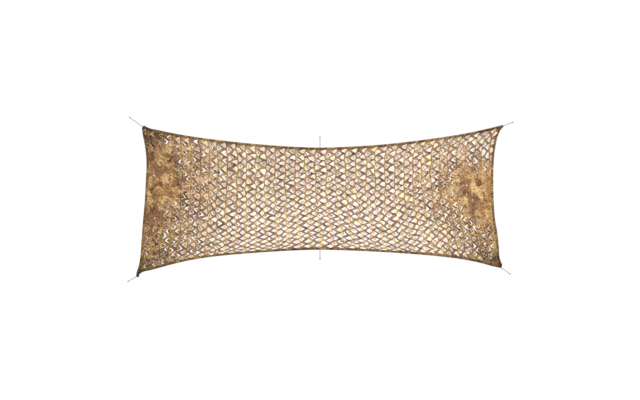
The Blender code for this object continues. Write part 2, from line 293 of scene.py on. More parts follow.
cord_material = make_cord_material("braided cord", (66, 63, 51), (96, 93, 78), (128, 124, 107))
# The knots are the same cord painted paler: painted light that offsets the shade in their tight turns
knot_painted_light_material = make_cord_material("knot cord painted paler", (98, 94, 78), (134, 130, 112), (158, 154, 134))
for cord_name, (root, free_end) in CORDS.items():
    start = Vector((root[0], 0.0, root[1]))
    end = Vector((free_end[0], 0.0, free_end[1]))
    along = (end - start).normalized()
    length = (end - start).length
    places = np.linspace(-CORD_SEWN_IN, length, round(length / CORD_STEP) + 2)
    route = [start + float(place) * along for place in places]
    cord_piece = sweep(cord_name + "_braid", route, CORD_DIAMETER, CORD_SIDES, cord_material)
    knot_at = end - KNOT_FROM_END * along
    knot_piece = overhand_knot(cord_name + "_knot", knot_at, along, knot_painted_light_material)
    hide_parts(cord_name)
    for piece in (cord_piece, knot_piece):
        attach(piece, "root")


# ---- Net panel ----
# The net is one length of light printed polyester cloth, about 0.3 mm thick, cut 3.75 by 1.5 m.
# Staggered V cuts are stamped all over it. Pulled out, each cut opens into a hole, and its leaf
# stays on the hole's straight side. The net is bunched shut at its ends and open in its middle.
FLAT_SIZE = (1.50, 3.75)
COLUMNS = 76
ROWS = 17
COLUMN_PITCH = FLAT_SIZE[1] / COLUMNS
ROW_PITCH = FLAT_SIZE[0] / ROWS
CUT_SEED = 11

# The net's outer edges, x and z, and the side on which the net lies: 1 to the right of the line
EDGES = {
    "top": (1, [
        (-1.954, 0.245), (-1.893, 0.216), (-1.798, 0.195), (-1.621, 0.158), (-1.354, 0.114),
        (-0.999, 0.069), (-0.644, 0.034), (-0.289, 0.009), (0.000, 0.000), (0.333, 0.011),
        (0.688, 0.034), (1.043, 0.073), (1.399, 0.122), (1.665, 0.167), (1.909, 0.222),
        (2.031, 0.252),
    ]),
    "bottom": (-1, [
        (-2.011, -1.438), (-2.003, -1.407), (-1.976, -1.386), (-1.887, -1.363), (-1.621, -1.291),
        (-1.443, -1.251), (-1.177, -1.210), (-0.821, -1.177), (-0.466, -1.152), (0.000, -1.135),
        (0.333, -1.143), (0.955, -1.177), (1.310, -1.207), (1.576, -1.240), (1.754, -1.275),
        (1.931, -1.321), (2.019, -1.340),
    ]),
    "left": (-1, [
        (-1.978, 0.218), (-1.969, 0.151), (-1.947, 0.040), (-1.929, -0.104), (-1.926, -0.204),
        (-1.935, -0.382), (-1.947, -0.615), (-1.965, -0.815), (-1.981, -1.026), (-1.995, -1.214),
        (-2.014, -1.320), (-2.036, -1.386), (-2.041, -1.424),
    ]),
    "right": (1, [
        (2.035, 0.228), (2.002, 0.190), (1.978, 0.140), (1.956, 0.057), (1.940, -0.038),
        (1.928, -0.182), (1.924, -0.415), (1.930, -0.615), (1.943, -0.793), (1.968, -0.937),
        (1.986, -1.114), (1.995, -1.225), (2.024, -1.305),
    ]),
}
CORNERS = {
    "top_left": (-1.966, 0.232),
    "top_right": (2.036, 0.240),
    "bottom_left": (-2.031, -1.438),
    "bottom_right": (2.015, -1.321),
}
LINE_POINTS = 1500

# The cloth's own edge lies this far inside the folded edge of the tape that holds it
HELD_INSIDE = {"top": 0.014, "bottom": 0.014, "left": 0.007, "right": 0.007}

# One cell of the cut pattern, across it from its straight side and down it, both in shares of it.
# The lines between columns swing from side to side, as the holes beside them pull on them
HINGE_AT = 0.07
TIP_AT = 1.10
HALF_HEIGHT_SHUT = 0.36
HALF_HEIGHT_OPEN = 0.37
FULLNESS_SHUT = 0.045
FULLNESS_OPEN = 0.080
STRAIGHT_SWING = 0.27
HOLE_SQUEEZE = 0.20
TIP_SWING = 0.30
SHOULDER_AT = 0.35
PLAIN_AT = (0.50, 0.55)
SIDE_SHARES = (0.0, 0.20, 0.40, 0.58, 0.74, 0.88, 1.0)
LEAF_SHARES = (0.22, 0.44, 0.64, 0.82)
LEAF_TRIM = 0.995

# How far a vertex is on a leaf, and how near a cut edge or a leaf's fold, for the cloth's painted light
# and shade
STRAND_TONE = (0, 0.8)
CUT_TONE = (0, 1)
HINGE_TONE = (0.3, 0.8)
LEAF_EDGE = 0.25

# For each end, in shares: the width that stays bunched shut, how much more does where it is
# gathered the most, the middle and half height of that place, and the width over which it opens
BUNCHED_ENDS = (
    (0.032, 0.058, 0.33, 0.22, 0.25),
    (0.012, 0.082, 0.47, 0.24, 0.24),
)

# The ends' cuts stay a little ajar. The top right corner is strained far more than the rest, over
# these shares of the length and the height
AJAR = 0.10
CORNER_STRAIN = 1.9
STRAINED_REACH = (0.085, 0.20)

# How far the lines between columns are drawn aside, all over and then more in the lower middle,
# whose middle and half size along the net and down it follow
DRAWN_ASIDE = (0.14, 1.08)
LOWER_MIDDLE = ((0.50, 0.36), (0.85, 0.42))

# How far a leaf turns out, in degrees: shut, then what ajar and open add, how much each of those
# scatters, and its limits. A share of the leaves turn out at the net's other face
LEAF_ANGLE = (1.5, 32, 3)
LEAF_SCATTER = (2, 7, 9)
HALFWAY_SCATTER = 80
ANGLE_LIMITS = (0.5, 112.0)
TURNED_BACK = 0.25

# A leaf's bow and curl in metres, its twist in radians and its sag as a share of its reach, and
# how far forwards and back its tip may stand
LEAF_BOW = 0.006
LEAF_CURL = 0.005
LEAF_TWIST = 0.30
LEAF_SAG = 0.06
DEPTH_LIMITS = (-0.052, 0.079)

# How far the pattern wanders, in cells along the net and down it, in fine and in broad waves
FINE_WANDER = (0.9, 0.7)
BROAD_WANDER = (1.5, 0.7)

# Where the rows crowd towards the foot, on both sides of the middle cord: middle and half width
SLACK_PLACES = ((0.29, 0.13), (0.65, 0.09))

# The share of the net over which its depth fades out at the tape, the step between the guide
# lines' points, how near vertices are merged, and the pitch of the cloth's threads
HELD_RIM = 0.05
GUIDE_STEP = 3
MERGE_WITHIN = 1e-5
THREAD_PITCH = 0.0012

# Soft folds from the gathered corners and the middle cords: start and end as shares of the net's
# length and height, then the half width and the depth in metres, forwards if negative
FOLDS = [
    (0.00, 0.00, 0.22, 0.45, 0.060, -0.016),
    (0.00, 0.00, 0.09, 0.60, 0.070, 0.014),
    (0.00, 1.00, 0.20, 0.62, 0.060, -0.014),
    (0.00, 1.00, 0.07, 0.40, 0.060, 0.012),
    (1.00, 0.00, 0.80, 0.42, 0.060, -0.014),
    (1.00, 0.00, 0.94, 0.55, 0.070, 0.016),
    (1.00, 1.00, 0.79, 0.60, 0.060, -0.012),
    (1.00, 1.00, 0.92, 0.45, 0.070, 0.014),
    (0.50, 0.00, 0.44, 0.30, 0.080, -0.008),
    (0.50, 1.00, 0.55, 0.72, 0.080, -0.008),
]
HUNG_SIZE = (4.00, 1.42)

# The print's patches, each over the ones before: its noise's scale and edge, and its colour
PATCHES = [
    (5.5, 0.52, (164, 122, 82)),
    (7.5, 0.57, (218, 180, 128)),
    (7.0, 0.58, (140, 102, 76)),
    (8.0, 0.62, (164, 130, 82)),
    (7.5, 0.62, (116, 80, 52)),
    (14.0, 0.69, (172, 120, 78)),
    (34.0, 0.60, (134, 97, 64)),
    (30.0, 0.64, (214, 178, 126)),
]

# Painted shade where the cloth is gathered: the middle, the reach and the depth of each darker place
CORNER_SHADES = [
    ((-1.95, 0.20), 0.20, 0.40),
    ((-1.80, 0.10), 0.30, 0.22),
    ((-2.02, -1.40), 0.14, 0.45),
    ((-1.84, -1.24), 0.26, 0.20),
    ((-1.86, -0.74), 0.20, 0.16),
    ((1.99, -1.28), 0.15, 0.45),
    ((1.80, -1.15), 0.30, 0.24),
    ((1.92, 0.17), 0.24, 0.32),
]


def measured(line):
    """The lengths between a line's points, and each point's distance along it."""
    spans = np.linalg.norm(np.diff(line, axis=0), axis=1)
    return spans, np.concatenate([[0.0], np.cumsum(spans)])


def resample(line):
    """The same line on LINE_POINTS points evenly spaced along it."""
    _, at = measured(line)
    where = np.linspace(0.0, at[-1], LINE_POINTS)
    return np.column_stack([np.interp(where, at, line[:, axis]) for axis in (0, 1)])


def smooth_line(points):
    """A smooth line through the points, on LINE_POINTS points too."""
    knots = np.array(points)
    spans, at = measured(knots)
    slopes = np.gradient(knots, at, axis=0)
    where = np.linspace(0.0, at[-1], LINE_POINTS)
    span = np.clip(np.searchsorted(at, where, side="right") - 1, 0, len(knots) - 2)
    size = spans[span][:, None]
    t = ((where - at[span]) / spans[span])[:, None]
    line = (
        (2 * t**3 - 3 * t**2 + 1) * knots[span]
        + (t**3 - 2 * t**2 + t) * size * slopes[span]
        + (3 * t**2 - 2 * t**3) * knots[span + 1]
        + (t**3 - t**2) * size * slopes[span + 1]
    )
    return resample(line)


def inward(line, side):
    """Unit vectors square to the line, towards the net."""
    along = np.gradient(line, axis=0)
    along /= np.linalg.norm(along, axis=1)[:, None]
    return side * np.column_stack([along[:, 1], -along[:, 0]])


def join_lines(line_a, line_b):
    """The places on the two lines where they meet, both moved to one shared point."""
    distances = np.linalg.norm(line_a[:, None, :] - line_b[None, :, :], axis=2)
    at_a, at_b = np.unravel_index(np.argmin(distances), distances.shape)
    line_a[at_a] = line_b[at_b] = (line_a[at_a] + line_b[at_b]) / 2
    return int(at_a), int(at_b)


outer_lines = {name: smooth_line(points) for name, (_, points) in EDGES.items()}
inward_ways = {name: inward(outer_lines[name], side) for name, (side, _) in EDGES.items()}


def inner_lines(distances):
    """The edge lines moved inwards by their distances, and the two ends of each at the corners."""
    lines = {name: outer_lines[name] + distances[name] * inward_ways[name] for name in EDGES}
    ends = {name: [] for name in EDGES}
    for corner in CORNERS:
        level, upright = corner.split("_")
        at_level, at_upright = join_lines(lines[level], lines[upright])
        ends[level].append(at_level)
        ends[upright].append(at_upright)
    return lines, {name: sorted(pair) for name, pair in ends.items()}


def line_object(name, points):
    """A curve through the points."""
    curve = bpy.data.curves.new(name, "CURVE")
    curve.dimensions = "3D"
    spline = curve.splines.new("POLY")
    spline.points.add(len(points) - 1)
    for point, place in zip(spline.points, points):
        point.co = (*place, 1.0)
    return add_object(name, curve)


def new_tree(name, inputs):
    """A geometry tree with named inputs: their types and, for the sizes, their values."""
    tree = bpy.data.node_groups.new(name, "GeometryNodeTree")
    tree.interface.new_socket("Geometry", in_out="OUTPUT", socket_type="NodeSocketGeometry")
    for label, (kind, value) in inputs.items():
        socket = tree.interface.new_socket(label, in_out="INPUT", socket_type="NodeSocket" + kind)
        if kind == "Float":
            socket.default_value = value
    nodes = Nodes(tree)
    entry = tree.nodes.new("NodeGroupInput")
    return nodes, {label: Socket(nodes, entry.outputs[label]) for label in inputs}


def grow(name, nodes, result, inputs):
    """Run the tree with its inputs set, and keep what it makes as a plain mesh."""
    nodes.fill(nodes.tree.nodes.new("NodeGroupOutput"), {0: result})
    seed = add_object(name + "_seed", bpy.data.meshes.new(name + "_seed"))
    modifier = seed.modifiers.new("grow", "NODES")
    modifier.node_group = nodes.tree
    for item in nodes.tree.interface.items_tree:
        if item.in_out == "INPUT":
            modifier[item.identifier] = inputs[item.name][1]
    graph = bpy.context.evaluated_depsgraph_get()
    data = bpy.data.meshes.new_from_object(seed.evaluated_get(graph), depsgraph=graph)
    seed.modifiers.remove(modifier)
    bpy.data.objects.remove(seed, do_unlink=True)
    data.name = name
    return add_object(name, data)


def shape_of(nodes, shown):
    """The geometry of a helper object."""
    return nodes.add("GeometryNodeObjectInfo", {"Object": shown}, out=4)


def joined(nodes, parts):
    """One geometry from several."""
    join = nodes.tree.nodes.new("GeometryNodeJoinGeometry")
    for part in parts:
        nodes.tree.links.new(part.socket, join.inputs[0])
    return Socket(nodes, join.outputs[0])


def store(nodes, geometry, name, value, kind="FLOAT_VECTOR", domain="POINT"):
    """The geometry with a named attribute on it."""
    inputs = {"Geometry": geometry, "Name": name, "Value": value}
    settings = {"data_type": kind, "domain": domain}
    return nodes.add("GeometryNodeStoreNamedAttribute", inputs, settings)


def stored(nodes, name):
    """The three values of a named attribute."""
    settings = {"data_type": "FLOAT_VECTOR"}
    return nodes.split(nodes.add("GeometryNodeInputNamedAttribute", {"Name": name}, settings))


def position(nodes):
    return nodes.split(nodes.add("GeometryNodeInputPosition"))


def swing(down):
    """How far the line at a cell's straight side swings, away from its hole, as it opens."""
    return STRAIGHT_SWING * math.cos(2 * math.pi * down)


class Cell:
    """A small mesh of one cell, in shares of the cell, with what each vertex does as it opens."""

    def __init__(self, points_right):
        self.start, self.way = (0, 1) if points_right else (1, -1)
        self.mesh = bmesh.new()
        self.layers = {
            label: self.mesh.verts.layers.float_vector.new(label)
            for label in ("spread", "flat", "leaf", "tone")
        }

    def vertex(self, across, down, spread=(0, 0, 0), flat=None, leaf=(0, 0), tone=(0, 0)):
        """Spread is how far it moves as its cell opens: across, down, and down again where strained.

        Leaf is its share of the way to the leaf's tip, and its side. Tone is how far it is on a
        leaf, and how near a cut edge or a leaf's fold, which set the cloth's painted light and shade.
        """
        flat = flat or (across, down)
        made = self.mesh.verts.new((self.start + self.way * across, down, 0.0))
        made[self.layers["spread"]] = (self.way * spread[0], spread[1], spread[2])
        made[self.layers["flat"]] = (self.start + self.way * flat[0], flat[1], 0.0)
        made[self.layers["leaf"]] = (*leaf, 0.0)
        made[self.layers["tone"]] = (*tone, 0.0)
        return made

    def between(self, first, second):
        """A vertex midway between two others."""
        across, down, _ = (first.co + second.co) / 2
        made = self.vertex(self.way * (across - self.start), down)
        spread = self.layers["spread"]
        made[spread] = (first[spread] + second[spread]) / 2
        return made

    def face(self, *corners):
        self.mesh.faces.new(corners[::self.way]).smooth = True

    def straight_side(self, downs):
        """Vertices on the line at the straight side."""
        return [self.vertex(0.0, down, (swing(down), 0.0, 0.0), tone=STRAND_TONE) for down in downs]

    def tip_side(self, downs):
        """Vertices on the line at the tip side, which swings round the hole's tip."""
        return [self.vertex(1 - TIP_SWING * math.cos(2 * math.pi * down), down) for down in downs]


def half_height(share, half, fullness):
    """The hole's half height at a share of the way from its straight side to its tip."""
    return half * (1 - share) + fullness * 4 * share * (1 - share)


def cut_cell(name, points_right):
    """A whole cell: a ring of cloth round the hole, and the leaf on the hole's straight side."""
    cell = Cell(points_right)

    def hole_vertex(share, way, tone=CUT_TONE):
        across = HINGE_AT + share * (TIP_AT - HINGE_AT)
        shut = half_height(share, HALF_HEIGHT_SHUT, FULLNESS_SHUT)
        opened = half_height(share, HALF_HEIGHT_OPEN, FULLNESS_OPEN)
        aside = swing(0.5 + way * opened) * (1 - share) ** 2
        spread = (aside, way * (opened - shut), -way * opened * HOLE_SQUEEZE)
        return cell.vertex(across, 0.5 + way * shut, spread, tone=tone)

    def leaf_vertex(share, way, half, edge):
        across = HINGE_AT + share * (TIP_AT - HINGE_AT)
        down = 0.5 + way * half
        spread = (swing(down), 0.0, 0.0)
        return cell.vertex(HINGE_AT, down, spread, (across, down), (share, way), (1, edge))

    straight = cell.straight_side((0.0, 0.25, 0.5, 0.75, 1.0))
    tips = cell.tip_side((0.0, 0.125, 0.25, 0.375, 0.5, 0.625, 0.75, 0.875, 1.0))
    upper, lower = cell.vertex(SHOULDER_AT, 0.0), cell.vertex(SHOULDER_AT, 1.0)
    outer = [straight[0], upper, *tips, lower, *straight[:0:-1]]
    sides = [hole_vertex(share, -1) for share in SIDE_SHARES]
    sides += [hole_vertex(share, 1) for share in SIDE_SHARES[-2::-1]]
    hinge = [hole_vertex(0.0, way, HINGE_TONE) for way in (0.5, 0.0, -0.5)]
    inner = sides + hinge
    middle = [cell.between(out, into) for out, into in zip(outer, inner)]
    count = len(outer)
    for first, second in ((outer, middle), (middle, inner)):
        for here in range(count):
            after = (here + 1) % count
            cell.face(first[here], second[here], second[after], first[after])

    rows = [[sides[0], *hinge[::-1], sides[-1]]]
    for share in LEAF_SHARES:
        ways = (-1.0, 0.0, 1.0) if share == LEAF_SHARES[-1] else (-1.0, -0.5, 0.0, 0.5, 1.0)
        half = LEAF_TRIM * half_height(share, HALF_HEIGHT_SHUT, FULLNESS_SHUT)
        rows.append([leaf_vertex(share, way, half, way * way * LEAF_EDGE) for way in ways])
    tip = leaf_vertex(1.0, 0.0, 0.0, LEAF_EDGE)
    for row, beyond in zip(rows, rows[1:-1]):
        for step in range(4):
            cell.face(row[step], row[step + 1], beyond[step + 1], beyond[step])
    row, beyond = rows[-2:]
    cell.face(row[0], row[1], beyond[0])
    cell.face(row[1], row[2], beyond[1], beyond[0])
    cell.face(row[2], row[3], beyond[2], beyond[1])
    cell.face(row[3], row[4], beyond[2])
    cell.face(beyond[0], beyond[1], tip)
    cell.face(beyond[1], beyond[2], tip)
    return mesh_object(name, cell.mesh)


def plain_half(name, upper):
    """A cell's upper or lower half, uncut, which fills the stagger at the net's edge."""
    cell = Cell(True)
    start, way = (0.0, 1) if upper else (1.0, -1)
    step = way * 0.125
    straight = cell.straight_side([start + step * count for count in (0, 2, 4)])
    tips = cell.tip_side([start + step * count for count in range(5)])
    shoulder = cell.vertex(SHOULDER_AT, start)
    middle = cell.vertex(PLAIN_AT[0], start + 2 * step)
    last = cell.vertex(PLAIN_AT[1], start + 4 * step)
    faces = [
        (straight[0], straight[1], middle, shoulder),
        (shoulder, middle, tips[2], tips[1], tips[0]),
        (straight[1], straight[2], last, middle),
        (middle, last, tips[4], tips[3], tips[2]),
    ]
    for corners in faces:
        cell.face(*corners[::way])
    return mesh_object(name, cell.mesh)


def near(value, middle, half_width, power=2):
    """1 where the value is at the middle, falling off to 0 beyond the half width."""
    away = abs((value - middle) / half_width)
    return (-1.0 * away ** power).exponent()


def pulled_open(nodes, u, v):
    """How far the net is pulled open at a place: 0 is bunched shut, and 1 open as in the middle.

    The second value is how far the lines between its columns are drawn aside there.
    """
    wander = 0.05 * (nodes.noise(nodes.join(u * 9, v * 4, 3.0), 1.0, 1.0) - 0.5)
    bunched, opened = [], []
    for inwards, (margin, wider, middle, reach, run) in zip((u, 1 - u), BUNCHED_ENDS):
        bunched.append(near(v, middle, reach, 4))
        inwards = inwards - (margin + wider * bunched[-1]) + wander
        opened.append((inwards * (1 / run)).clamped())
    ajar = (AJAR + 3 * wander) * (1 - bunched[0].most(bunched[1]))
    pull = opened[0].least(opened[1]).most(ajar)
    reach_u, reach_v = STRAINED_REACH
    pull = pull + CORNER_STRAIN * near(u, 1.0, reach_u) * near(v, 0.0, reach_v)
    lower_middle = near(u, *LOWER_MIDDLE[0], 4) * near(v, *LOWER_MIDDLE[1], 4)
    return pull, pull * (DRAWN_ASIDE[0] + DRAWN_ASIDE[1] * lower_middle)


def place_cells(nodes, given, label, toward, first_column, first_row, rows):
    """Points for one kind of cell, each with its place and with how its leaf turns."""
    each = COLUMNS // 2
    index = nodes.add("GeometryNodeInputIndex")
    row = nodes.maths("FLOOR", (index + 0.5) / each)
    place = nodes.join(first_column + 2 * (index - each * row), first_row + row)
    points = nodes.add("GeometryNodePoints", {"Count": each * rows, "Position": place})
    here_x, here_y, _ = position(nodes)
    pull, _ = pulled_open(nodes, (here_x + 0.5) / COLUMNS, (here_y + 0.5) / ROWS)
    pull = pull.least(1.0)

    def chance(number, low=0.0, high=1.0):
        inputs = {2: low, 3: high, 8: CUT_SEED * 10 + number + 5 * toward}
        return nodes.add("FunctionNodeRandomValue", inputs, {"data_type": "FLOAT"}, 1)

    def more(shut, when_ajar, when_open):
        return shut + when_ajar * ajar + when_open * pull

    ajar = nodes.step(pull, 0.075, 0.075)
    scatter = more(*LEAF_SCATTER) + HALFWAY_SCATTER * pull * (1 - pull)
    angle = more(*LEAF_ANGLE) + scatter * (chance(1) + chance(2) - 1)
    angle = angle.most(ANGLE_LIMITS[0]).least(ANGLE_LIMITS[1])
    side = toward * (1 - 2 * nodes.maths("LESS_THAN", chance(3), TURNED_BACK))
    turn = nodes.join(angle * side * (math.pi / 180), chance(4, -1.0, 1.0), chance(5, -1.0, 1.0))
    points = store(nodes, points, "cell", nodes.join(here_x, here_y, float(toward)))
    inputs = {"Points": store(nodes, points, "turn", turn), "Instance": shape_of(nodes, given[label])}
    return nodes.add("GeometryNodeInstanceOnPoints", inputs)


def on_line(nodes, line, share):
    """The x and z of a place on a guide line, at a share of its length."""
    inputs = {"Curves": shape_of(nodes, line), "Factor": share}
    x, _, z = nodes.split(nodes.add("GeometryNodeSampleCurve", inputs, {"mode": "FACTOR"}, 1))
    return x, z


def fold_depth(u, v):
    """How far back the soft folds put the cloth at a place."""
    wide, high = HUNG_SIZE
    x, z = u * wide, v * high
    deep = 0.0
    for u0, v0, u1, v1, half_width, depth in FOLDS:
        run_x, run_z = (u1 - u0) * wide, (v1 - v0) * high
        length = math.hypot(run_x, run_z)
        run_x, run_z = run_x / length, run_z / length
        from_x, from_z = x - u0 * wide, z - v0 * high
        along = (from_x * run_x + from_z * run_z) / length
        beside = from_x * run_z - from_z * run_x
        fade = abs(2 * along.clamped() - 1) ** 3
        deep = deep + depth * (1 - fade) * near(beside, 0.0, half_width)
    return deep


def from_rim(x, y, wide, high):
    """How far a place is from the nearest side."""
    return x.least(wide - x).least(y.least(high - y))


def hang(nodes, given, corners, x, y, opened_x, opened_y):
    """Where a place of the flat pattern hangs: x and z, with its shares of length and height."""
    inside = (from_rim(x, y, COLUMNS, ROWS) * 0.8).clamped()
    fine = nodes.split(nodes.noise(nodes.join(x, y, 7.0), 0.6, 1.0, out=1))
    broad = nodes.split(nodes.noise(nodes.join(x * 0.16, y * 0.3, 1.0), 1.0, 2.0, out=1))
    wander = [
        inside * (FINE_WANDER[axis] * (fine[axis] - 0.5) + BROAD_WANDER[axis] * (broad[axis] - 0.5))
        for axis in (0, 1)
    ]
    u = ((opened_x + wander[0]) / COLUMNS).clamped()
    row_share = ((opened_y + wander[1]) / ROWS).clamped()

    # The rows crowd towards the foot, most of all to both sides of the middle cord, and the
    # columns lean over to the right on their way down
    slack_left, slack_right = [near(u, *slack_place, 4) for slack_place in SLACK_PLACES]
    crowding = given["Foot crowding"] * (slack_left + slack_right) * (1 - row_share ** 5)
    drop = given["Row drop"] * (math.pi * u).sine() * (1 - row_share)
    v = row_share * (1 + crowding + drop)
    lean = given["Column lean"] * (math.pi * u ** 1.6).sine() * row_share ** 1.5

    share = u - given["Middle stretch"] / (2 * math.pi) * (2 * math.pi * u).sine()
    share = (share + lean).clamped()
    top = on_line(nodes, given["Top line"], share)
    bottom = on_line(nodes, given["Bottom line"], share)
    left = on_line(nodes, given["Left line"], v)
    right = on_line(nodes, given["Right line"], v)
    hung = []
    for axis in (0, 1):
        stretched = (1 - v) * top[axis] + v * bottom[axis]
        stretched = stretched + (1 - share) * left[axis] + share * right[axis]
        for (at_right, at_foot), corner in corners.items():
            across = share if at_right else 1 - share
            down = v if at_foot else 1 - v
            stretched = stretched - float(corner[axis]) * across * down
        hung.append(stretched)
    return (*hung, u, v)


def depth_at(nodes, given, slack, u, v):
    """How far back the belly, the folds and the crumples put the cloth at a place."""
    wide, high = HUNG_SIZE
    held = 1 - (from_rim(u, v, 1, 1) / -HELD_RIM).exponent()
    belly = (math.pi * v).sine() * (math.pi * u).sine() ** 0.5
    place = nodes.join(u * wide, v * high, 5.0)
    wrinkle = nodes.noise(place, 7.5, 2.0, 0.55, 0.6) - 0.5
    ripple = nodes.noise(place, 16.0, 1.0) - 0.5
    crumple = given["Crumple"] * (slack * (wrinkle * 3.0 + ripple) + 0.5 * ripple)
    return held * (given["Belly"] * belly + fold_depth(u, v) + crumple)


def leaf_place(nodes, given, pull, toward, attached, laid, depths):
    """Where a leaf's vertex goes: out from its fold by its angle, bowed, curled and twisted."""
    along, side, _ = stored(nodes, "leaf")
    angle, bowed, twist = stored(nodes, "turn")
    loose = (0.08 + 1.3 * pull).least(1.0)
    bowed, twist = bowed * loose, twist * loose
    angle = angle + LEAF_TWIST * twist * side * along
    reach = given["Leaf length"] * along
    bow = LEAF_BOW * bowed * (side * side - 0.35) * along + LEAF_CURL * twist * along * along
    cosine, sine = angle.cosine(), angle.sine()
    x = attached[0] + cosine * (laid[0] - attached[0]) - toward * bow * sine
    z = attached[1] + cosine * (laid[1] - attached[1]) - LEAF_SAG * reach * sine * sine
    deep = depths[0] + cosine * (depths[1] - depths[0]) + reach * sine + bow * cosine
    return nodes.join(x, deep.most(DEPTH_LIMITS[0]).least(DEPTH_LIMITS[1]), z)


def panel_tree(given_inputs, corners):
    """Cells placed on a flat grid, opened, leaves turned out, and all of it hung in its shape."""
    nodes, given = new_tree("leaf cut net", given_inputs)
    kinds = [
        ("Left cell", -1, 0, 0.0, ROWS),
        ("Right cell", 1, 1, 0.5, ROWS - 1),
        ("Top half", 1, 1, -0.5, 1),
        ("Bottom half", 1, 1, ROWS - 0.5, 1),
    ]
    cells = joined(nodes, [place_cells(nodes, given, *kind) for kind in kinds])
    cloth = nodes.add("GeometryNodeRealizeInstances", {0: cells})

    flat_x, flat_y, _ = stored(nodes, "flat")
    cell_x, cell_y, toward = stored(nodes, "cell")
    laid_x, laid_y = cell_x + flat_x, cell_y + flat_y
    print_place = nodes.join(laid_x * COLUMN_PITCH, laid_y * ROW_PITCH)
    cloth = store(nodes, cloth, "UVMap", print_place, "FLOAT2", "CORNER")

    x, y, _ = position(nodes)
    spread_x, spread_y, squeeze = stored(nodes, "spread")
    pull, aside = pulled_open(nodes, x / COLUMNS, y / ROWS)
    opened = pull.least(1.0)
    strain = (pull - 1).most(0.0) / CORNER_STRAIN
    shift_x = spread_x * aside
    shift_y = spread_y * opened + squeeze * strain
    attached = hang(nodes, given, corners, x, y, x + shift_x, y + shift_y)
    laid = hang(nodes, given, corners, laid_x, laid_y, laid_x + shift_x, laid_y + shift_y)
    depths = [depth_at(nodes, given, 1 - opened, *place[2:]) for place in (attached, laid)]

    # For the cloth's painted light and shade: leaf share, a little different for each leaf, nearness to
    # a cut, and how far open
    pale, dark, _ = stored(nodes, "tone")
    pale = pale * (0.75 + 0.25 * stored(nodes, "turn")[1])
    cloth = store(nodes, cloth, "tone", nodes.join(pale, dark, opened))

    place = leaf_place(nodes, given, pull, toward, attached, laid, depths)
    cloth = nodes.add("GeometryNodeSetPosition", {"Geometry": cloth, "Position": place})
    inputs = {"Geometry": cloth, "Distance": MERGE_WITHIN}
    cloth = nodes.add("GeometryNodeMergeByDistance", inputs)
    for name in ("spread", "flat", "leaf", "cell", "turn"):
        cloth = nodes.add("GeometryNodeRemoveAttribute", {"Geometry": cloth, "Name": name})
    inputs = {"Geometry": cloth, "Material": given["Cloth"]}
    return nodes, nodes.add("GeometryNodeSetMaterial", inputs)


def camouflage(nodes, place, seed):
    """A printed pattern of crisp overlapping patches in sand, tan, ochre and browns."""
    x, y, _ = nodes.split(place)
    place = nodes.join(x, y, seed)
    shift = nodes.noise(place, 22.0, 4.0, 0.65, out=1)
    shift = nodes.vector("SUBTRACT", shift, (0.5, 0.5, 0.5))
    place = nodes.vector("MULTIPLY_ADD", shift, (0.07, 0.07, 0.0), place)
    colour = linear(190, 150, 98)
    for number, (scale, edge, shade) in enumerate(PATCHES):
        moved = nodes.vector("ADD", place, (3.1 * number, 1.7 * number, 0.9 * number))
        blob = nodes.noise(moved, scale, 1.5, 0.45)
        colour = nodes.mix_colours(nodes.step(blob, edge, 0.035), colour, linear(*shade))
    return colour


def cloth_relief(nodes, place, x, z, opened):
    """Fine crumples all over, creases that run out from the corners, and the weave's threads."""
    crease = nodes.noise(place, 34.0, 2.0, 0.6) * (1 - 0.8 * opened)
    for corner_x, corner_z in CORNERS.values():
        from_x, from_z = x - corner_x, z - corner_z
        away = (from_x ** 2 + from_z ** 2) ** 0.5
        round_it = nodes.maths("ARCTAN2", from_z, from_x)
        streak = nodes.noise(nodes.join(round_it * 6, away * 1.5), 1.0)
        crease = crease + 1.3 * streak * near(away, 0.0, 0.5)
    creased = nodes.bump(crease, 1.0, 0.035)
    across, down, _ = nodes.split(place)
    turn = 2 * math.pi / THREAD_PITCH
    threads = (across * turn).sine() * (down * turn).sine()
    return nodes.bump(0.5 * threads + nodes.noise(place, 60.0, 3.0), 0.35, 0.0004, Normal=creased)


